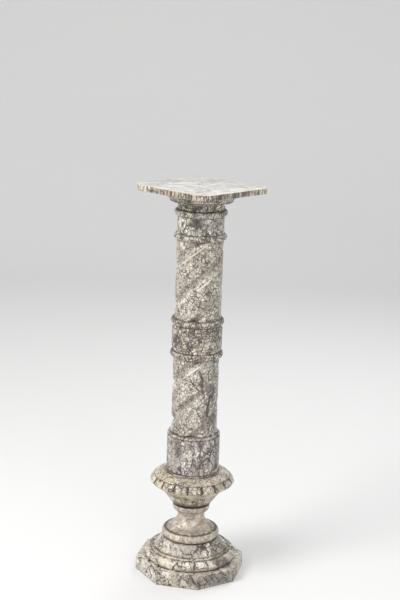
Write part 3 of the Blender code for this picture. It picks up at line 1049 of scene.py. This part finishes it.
capitalLook = {
    "netStart": 0.40,
    "shift": (0.52, 0.13, 0.21),
    "veins": [(21.0, 0.020, 0.95, 0.85), (44.0, 0.030, 0.95, 0.85), (82.0, 0.040, 0.85, 0.80)],
    "ground": tones(
        (0.30, 182, 168, 140), (0.45, 220, 209, 182), (0.60, 236, 227, 204), (0.72, 206, 192, 160),
    ),
    "nets": [(70.0, 0.10, 0.95), (130.0, 0.14, 0.75)],
    "rings": [
        ringAt(1.0880, 0.0050, 0.40),
        ringAt(1.0655, 0.0023, 0.80, 0.25, 0.45),
        ringAt(1.0667, 0.0013, 0.75, 0.30, 0.45, colour=seen(226, 216, 194)),
        ringAt(1.0480, 0.0080, 0.22),
    ],
    "marks": [
        markAt((219, onShaft, 1.055), (0.010, 0.008), black),
        markAt((183, onShaft, 1.052), (0.007, 0.006), black),
        markAt((259, onShaft, 1.055), (0.009, 0.007), black),
        markAt((238, onShaft, 1.050), (0.0025, 0.010), black, steady=True),
        markAt((202, onShaft, 1.050), (0.0025, 0.009), black, steady=True),
        markAt((228, onShaft, 1.046), (0.006, 0.004), cream, 0.8),
    ],
}

neckLook = {
    "netStart": 0.41,
    "shift": (0.23, 0.61, 0.37),
    "nets": [(80.0, 0.10, 0.95), (140.0, 0.12, 0.55)],
    "ground": tones(
        (0.30, 152, 144, 134), (0.45, 194, 187, 176), (0.58, 214, 208, 197), (0.70, 176, 170, 150),
    ),
    "rings": [
        ringAt(1.0402, 0.0024, 0.90, 0.30, 0.46),
        ringAt(1.0232, 0.0017, 0.85),
        ringAt(0.9757, 0.0017, 0.85),
        ringAt(0.9583, 0.0017, 0.80),
    ],
    "marks": [
        markAt((168, onShaft, 1.008), (0.020, 0.017), white, 0.65),
        markAt((262, onShaft, 1.006), (0.020, 0.018), grey, 0.60),
        markAt((214, onShaft, 1.005), (0.031, 0.024), seen(62, 56, 54), 0.92, soft=0.2),
        markAt((214, onShaft, 1.016), (0.015, 0.011), black, 0.95, soft=0.2),
        markAt((235, onShaft, 0.996), (0.005, 0.014), black, 0.75, lean=-30),
        markAt((200, onShaft, 1.006), (0.004, 0.012), black, 0.60, lean=25),
        markAt((205, onShaft, 0.997), (0.005, 0.005), white),
        markAt((219, onShaft, 0.994), (0.005, 0.005), white),
        markAt((232, onShaft, 0.998), (0.006, 0.006), white, 0.7),
        markAt((246, onShaft, 0.986), (0.006, 0.005), white),
        markAt((236, 0.0720, 0.967), (0.010, 0.008), dusk),
    ],
}

upperSpiralLook = {
    "netStart": 0.41,
    "nets": [(84.0, 0.085, 0.88), (150.0, 0.12, 0.55)],
    "shift": (0.84, 0.27, 0.55),
    "ground": tones(
        (0.30, 168, 160, 147), (0.45, 196, 187, 173), (0.58, 212, 203, 190), (0.70, 178, 174, 154),
    ),
    "spiral": {
        "low": 0.7408,
        "turn": spiralSizes["upperTurn"],
        "grooveLightening": 0.09,
        # painted highlight streaks: angle, height, reach and strength
        "highlightStreaks": [(207.6, 0.922, 0.056, 0.60), (240.0, 0.848, 0.031, 0.95)],
    },
    "marks": [
        markAt((202, onShaft, 0.819), (0.011, 0.013), white, 0.6),
        markAt((245, 0.0600, 0.885), (0.018, 0.020), seen(176, 178, 160), 0.5),
    ],
}

bandLook = {
    "netStart": 0.42,
    "shift": (0.05, 0.93, 0.18),
    "ground": tones(
        (0.30, 152, 141, 128), (0.45, 190, 178, 163), (0.60, 210, 199, 184), (0.70, 172, 163, 141),
    ),
    "nets": [(78.0, 0.11, 0.95), (150.0, 0.13, 0.65)],
    "veins": [(21.0, 0.018, 0.90, 0.75), (44.0, 0.030, 0.95, 0.85), (82.0, 0.044, 0.90, 0.85)],
    "rings": [
        ringAt(0.7224, 0.0024, 0.90, 0.30, 0.46),
        ringAt(0.6488, 0.0024, 0.90, 0.30, 0.46),
        ringAt(0.7400, 0.0020, 0.80),
        ringAt(0.6312, 0.0020, 0.85),
    ],
    "marks": [
        markAt((172, onBand, 0.688), (0.016, 0.026), dusk, 0.45),
        markAt((210, onBand, 0.705), (0.012, 0.010), black, 0.55),
        markAt((251, onBand, 0.686), (0.018, 0.018), seen(206, 190, 176), 0.65),
    ],
}

lowerSpiralLook = {
    "netStart": 0.41,
    "nets": [(84.0, 0.085, 0.88), (150.0, 0.12, 0.55)],
    "shift": (0.39, 0.48, 0.72),
    "ground": tones(
        (0.30, 168, 160, 148), (0.45, 198, 189, 176), (0.58, 214, 206, 194), (0.70, 180, 174, 156),
    ),
    "spiral": {
        "low": 0.4118,
        "turn": spiralSizes["lowerTurn"],
        "grooveLightening": 0.11,
        # painted highlight streak: angle, height, reach and strength
        "highlightStreaks": [(217.7, 0.600, 0.034, 0.90)],
    },
    "rings": [ringAt(0.4132, 0.0032, 0.90, 0.30, 0.46)],
    "marks": [
        markAt((268, onShaft, 0.540), (0.016, 0.026), dusk, 0.75),
        markAt((258, onShaft, 0.500), (0.006, 0.050), black, 0.80, lean=-8),
        markAt((241, onShaft, 0.560), (0.004, 0.050), dusk, 0.80, lean=12),
        markAt((283, onShaft, 0.460), (0.016, 0.040), dusk, 0.70),
        markAt((250, onShaft, 0.440), (0.006, 0.030), dusk, 0.70, lean=10),
        markAt((226, onShaft, 0.555), (0.011, 0.014), cream, 0.45),
        *strokes(onShaft, 0.0025, [
            (235, 0.603, 245, 0.560), (245, 0.560, 249, 0.506), (250, 0.501, 268, 0.444),
            (277, 0.554, 270, 0.513), (283, 0.494, 295, 0.446), (268, 0.444, 258, 0.419),
            (208, 0.581, 220, 0.561), (220, 0.561, 240, 0.538), (256, 0.600, 262, 0.545),
            (262, 0.530, 258, 0.480), (272, 0.480, 282, 0.430),
        ]),
    ],
}

drumLook = {
    "shift": (0.66, 0.05, 0.94),
    "ground": tones(
        (0.30, 138, 130, 126), (0.45, 168, 160, 153), (0.60, 192, 184, 177), (0.70, 156, 148, 135),
    ),
    "netStart": 0.46,
    "stretch": (1.0, 1.0, 0.70),
    "veins": [(17.0, 0.020, 0.95, 0.85), (44.0, 0.026, 0.92, 0.75), (82.0, 0.036, 0.80, 0.70)],
    "veinColour": seen(58, 51, 52),
    "rings": [
        ringAt(0.4048, 0.0017, 0.95, 0.26, 0.44),
        ringAt(0.3032, 0.0019, 0.90, 0.26, 0.44),
        ringAt(0.2960, 0.0016, 0.90, 0.26, 0.44),
    ],
    "marks": [
        markAt((200, onDrum, 0.335), (0.018, 0.020), white, 0.40),
        markAt((232, onDrum, 0.322), (0.022, 0.020), purple, 0.40),
        markAt((188, onDrum, 0.372), (0.018, 0.014), dusk, 0.50),
        markAt((262, onDrum, 0.350), (0.004, 0.034), purple, 0.7, lean=-18),
        markAt((240, onDrum, 0.345), (0.004, 0.030), purple, 0.7, lean=-25),
        *strokes(onDrum, 0.0019, [
            (178, 0.399, 191, 0.375), (208, 0.402, 202, 0.368), (237, 0.403, 240, 0.365),
            (268, 0.365, 252, 0.328), (276, 0.390, 264, 0.361), (226, 0.360, 216, 0.318),
            (244, 0.345, 234, 0.305), (286, 0.350, 276, 0.312),
        ]),
    ],
}

# angle, height, colour and lean of the upright streaks on the cup's bowl
bowlStreaks = [
    (186, 0.228, brown, 8), (200, 0.222, dusk, -6), (209, 0.230, brown, 4), (226, 0.224, brown, -10),
    (237, 0.231, dusk, 7), (252, 0.226, brown, 12), (262, 0.222, dusk, -5),
]

cupLook = {
    "tear": 0.012,
    "netStart": 0.49,
    "nets": [(72.0, 0.075, 0.88), (140.0, 0.12, 0.35)],
    "veins": [(17.0, 0.016, 0.95, 0.75), (40.0, 0.024, 0.92, 0.70), (82.0, 0.034, 0.75, 0.65)],
    "veinColour": seen(50, 41, 35),
    "shift": (0.28, 0.76, 0.33),
    "ground": tones(
        (0.30, 168, 152, 124), (0.45, 204, 192, 166), (0.58, 220, 210, 188), (0.70, 194, 177, 140),
    ),
    "shadeAndGrimeColour": seen(66, 52, 36),
    "rings": [
        ringAt(0.2842, 0.0012, 0.90, 0.10, 0.30),
        # painted shadow: black in the gap between bowl and collar, then painted shade on the bowl's
        # underside above it
        ringAt(0.2032, 0.0100, 0.97, 0.02, 0.15, colour=black),
        ringAt(0.2090, 0.0110, 0.85, 0.25, 0.60, colour=seen(84, 66, 42)),
        ringAt(0.2370, 0.0060, 0.25),
    ],
    "cuts": {
        "first": cupSizes["firstCut"],
        "count": cupSizes["gadroons"],
        "low": 0.246,
        "high": 0.282,
        "top": 0.2836,
        "amount": 0.92,
    },
    "marks": [
        markAt((222, onShoulder, 0.289), (0.050, 0.030), purple, 0.38),
        markAt((165, onShoulder, 0.289), (0.026, 0.030), ochre, 0.30),
        markAt((275, onShoulder, 0.289), (0.050, 0.030), purple, 0.50),
        markAt((215, 0.0750, 0.225), (0.040, 0.020), ochre, 0.40),
        *(
            markAt((angle, 0.0600, height), (0.0022, 0.016), colour, 0.75, lean=lean)
            for angle, height, colour, lean in bowlStreaks
        ),
    ],
}

socleLook = {
    "shift": (0.47, 0.39, 0.08),
    "ground": tones(
        (0.30, 164, 150, 133), (0.45, 192, 180, 163), (0.60, 207, 195, 179), (0.70, 179, 165, 142),
    ),
    "veins": [(19.0, 0.022, 0.45, 0.45), (46.0, 0.040, 0.45, 0.50), (100.0, 0.060, 0.40, 0.55)],
    "netStart": 0.49,
    "nets": [(100.0, 0.09, 0.55), (190.0, 0.16, 0.40)],
    "rings": [
        ringAt(0.1246, 0.0017, 0.90, 0.26, 0.44),
        ringAt(0.1825, 0.0016, 0.70, 0.20, 0.40),
        ringAt(0.1300, 0.0090, 0.40),
        ringAt(0.1020, 0.0019, 0.90, 0.10, 0.30),
        # painted shadow in the gap under the cup
        ringAt(0.1994, 0.0032, 0.95, 0.05, 0.25, colour=black),
    ],
}

ogeeVeins = [
    (251, 0.112, 264, 0.089), (264, 0.089, 282, 0.066), (269, 0.112, 292, 0.070), (300, 0.105, 306, 0.078),
    (204, 0.092, 214, 0.078), (180, 0.096, 190, 0.080), (214, 0.078, 232, 0.080),
]
torusVeins = [
    (207, 0.066, 211, 0.049), (223, 0.068, 227, 0.050), (232, 0.051, 246, 0.052), (232, 0.066, 245, 0.066),
]
plinthVeins = [
    (226, 0.038, 230, 0.010), (231, 0.031, 237, 0.004), (238, 0.037, 244, 0.018), (252, 0.034, 262, 0.007),
    (188, 0.037, 192, 0.030), (262, 0.036, 270, 0.020),
]

baseLook = {
    "tear": 0.015,
    "shift": (0.91, 0.22, 0.61),
    "ground": tones(
        (0.30, 164, 153, 138), (0.45, 198, 188, 173), (0.58, 214, 205, 190), (0.70, 182, 171, 146),
    ),
    "stretch": (0.9, 0.9, 0.9),
    "clastScale": 62.0,
    "netStart": 0.50,
    "nets": [(46.0, 0.055, 0.92), (125.0, 0.12, 0.42)],
    "veins": [(15.0, 0.016, 0.95, 0.80), (34.0, 0.022, 0.95, 0.70), (78.0, 0.034, 0.75, 0.60)],
    "veinColour": seen(46, 39, 37),
    "rings": [
        ringAt(0.0400, 0.0034, 0.80, 0.32, 0.56, radius=0.1215),
        ringAt(0.0658, 0.0015, 0.70, 0.32, 0.54),
        ringAt(0.0724, 0.0012, 0.70, 0.32, 0.54),
        ringAt(0.0691, 0.0018, 0.45, 0.30, 0.55, colour=cream),
        ringAt(0.1005, 0.0022, 0.80),
        ringAt(0.0008, 0.0022, 0.60),
    ],
    "marks": [
        markAt((216, onOgee, 0.092), (0.070, 0.024), purple, 0.50),
        markAt((290, onOgee, 0.090), (0.040, 0.030), dusk, 0.50),
        markAt((247, onOgee, 0.097), (0.004, 0.026), black, lean=-28),
        markAt((262, onOgee, 0.100), (0.008, 0.012), white, 0.75),
        markAt((276, onOgee, 0.098), (0.012, 0.012), seen(206, 188, 176), 0.75),
        markAt((269, onOgee, 0.098), (0.003, 0.020), black),
        markAt((266, onOgee, 0.074), (0.012, 0.012), dusk, 0.70),
        markAt((222, onTorus, 0.063), (0.016, 0.010), white, 0.75),
        markAt((238, onTorus, 0.061), (0.013, 0.010), white, 0.70),
        markAt((230, onTorus, 0.060), (0.003, 0.016), black, 0.90),
        markAt((214, onTorus, 0.062), (0.002, 0.014), dusk, 0.80),
        markAt((247, onTorus, 0.060), (0.003, 0.014), black, 0.90, lean=20),
        markAt((262, onTorus, 0.066), (0.020, 0.014), dusk, 0.75),
        markAt((272, onTorus, 0.055), (0.030, 0.014), black, 0.65),
        markAt((255, onTorus, 0.070), (0.006, 0.007), white, 0.80),
        markAt((190, onPlinth, 0.033), (0.008, 0.005), dusk, 0.80),
        markAt((232, onPlinth, 0.022), (0.060, 0.030), purple, 0.34),
        markAt((226, onPlinth, 0.024), (0.014, 0.016), dusk, 0.55),
        markAt((234, onPlinth, 0.018), (0.006, 0.018), black, 0.60, lean=15),
        markAt((256, onPlinth, 0.020), (0.040, 0.022), dusk, 0.55),
        markAt((280, onPlinth, 0.022), (0.060, 0.034), dusk, 0.55),
        markAt((168, onPlinth, 0.022), (0.040, 0.026), white, 0.50),
        markAt((186, onTorus, 0.060), (0.022, 0.012), cream, 0.45),
        *strokes(0.1000, 0.0020, ogeeVeins),
        *strokes(0.1265, 0.0019, torusVeins),
        *strokes(0.1480, 0.0021, plinthVeins),
    ],
}

looks = [
    (slab, slabLook),
    (capital, capitalLook),
    (neckDrum, neckLook),
    (upperSpiral, upperSpiralLook),
    (middleBand, bandLook),
    (lowerSpiral, lowerSpiralLook),
    (lowerDrum, drumLook),
    (cup, cupLook),
    (socle, socleLook),
    (base, baseLook),
]
for piece, look in looks:
    paintMarble(piece, look)


# Camera, at the photograph's viewing angle

cameraSizes = {
    "place": (-2.5237, -2.3782, 1.6283),
    "forward": (0.70820, 0.66555, -0.23558),
    "up": (0.14768, 0.18664, 0.97126),
    "lens": 78.35,
    "sensorWidth": 36,
    "farthest": 60,
}


def makeCamera():
    s = cameraSizes
    clearSelection()
    bpy.ops.object.camera_add(location=s["place"])
    camera = bpy.context.object
    camera.name = "photoCamera"
    forward = Vector(s["forward"]).normalized()
    right = forward.cross(Vector(s["up"]).normalized()).normalized()
    up = right.cross(forward)
    turn = Matrix((right, up, -forward)).transposed().to_4x4()
    camera.matrix_world = Matrix.Translation(s["place"]) @ turn
    camera.data.lens = s["lens"]
    camera.data.sensor_width = s["sensorWidth"]
    camera.data.clip_end = s["farthest"]
    bpy.context.scene.camera = camera


makeCamera()


# Floor with a backdrop that curves up behind, and soft studio light

stageSizes = {
    "viewAngle": 43.3,
    "halfWidth": 9.0,
    "front": -7.0,
    "bend": 3.6,
    "curve": 1.6,
    "wallHeight": 5.0,
    "paint": (0.73, 0.73, 0.73, 1),
    "roughness": 0.7,
}


def makeStage():
    s = stageSizes
    stage = startAt("paleFloor", (s["front"], -s["halfWidth"], 0))
    draw(s["bend"] - s["front"], 0, 0)
    for step in range(16):
        first, last = pi / 2 * step / 16, pi / 2 * (step + 1) / 16
        draw(s["curve"] * (sin(last) - sin(first)), 0, s["curve"] * (cos(first) - cos(last)))
    draw(0, 0, s["wallHeight"])
    bpy.ops.mesh.select_all(action="SELECT")
    draw(0, 2 * s["halfWidth"], 0)
    turnFacesOut()
    stage.rotation_euler.z = radians(s["viewAngle"])
    applyPlace(stage)
    smooth(stage, 60)
    paint = bpy.data.materials.new("palePaint")
    paint.use_nodes = True
    shader = paint.node_tree.nodes["Principled BSDF"]
    shader.inputs["Base Color"].default_value = s["paint"]
    shader.inputs["Roughness"].default_value = s["roughness"]
    stage.data.materials.append(paint)


makeStage()

# each place is metres to the right of the column, away behind it and up, as the camera sees it
lightSizes = {
    "key": {"place": (-1.9, -1.3, 2.8), "size": 1.6, "power": 72, "colour": (1.0, 0.985, 0.96)},
    "fill": {"place": (1.0, -3.0, 1.9), "size": 2.2, "power": 26, "colour": (0.97, 0.985, 1.0)},
    "rim": {"place": (1.0, 2.0, 2.6), "size": 1.6, "power": 22, "colour": (1.0, 1.0, 1.0)},
}
roomLight = {"aimHeight": 0.6, "colour": (1.0, 1.0, 1.0, 1), "strength": 0.78}


def asSeen(right, away, up):
    turn = radians(stageSizes["viewAngle"] - 90)
    return Vector((right * cos(turn) - away * sin(turn), right * sin(turn) + away * cos(turn), up))


def makeLights():
    for name, s in lightSizes.items():
        place = asSeen(*s["place"])
        clearSelection()
        bpy.ops.object.light_add(type="AREA", location=place)
        lamp = bpy.context.object
        lamp.name = name + "Light"
        lamp.data.shape = "DISK"
        lamp.data.size = s["size"]
        lamp.data.energy = s["power"]
        lamp.data.color = s["colour"]
        aim = Vector((0, 0, roomLight["aimHeight"])) - place
        lamp.rotation_euler = aim.to_track_quat("-Z", "Y").to_euler()
    world = bpy.data.worlds.new("softRoom")
    bpy.context.scene.world = world
    world.use_nodes = True
    background = world.node_tree.nodes["Background"]
    background.inputs["Color"].default_value = roomLight["colour"]
    background.inputs["Strength"].default_value = roomLight["strength"]
    bpy.context.scene.view_settings.view_transform = "Standard"


makeLights()
print("camera, floor and lights placed")
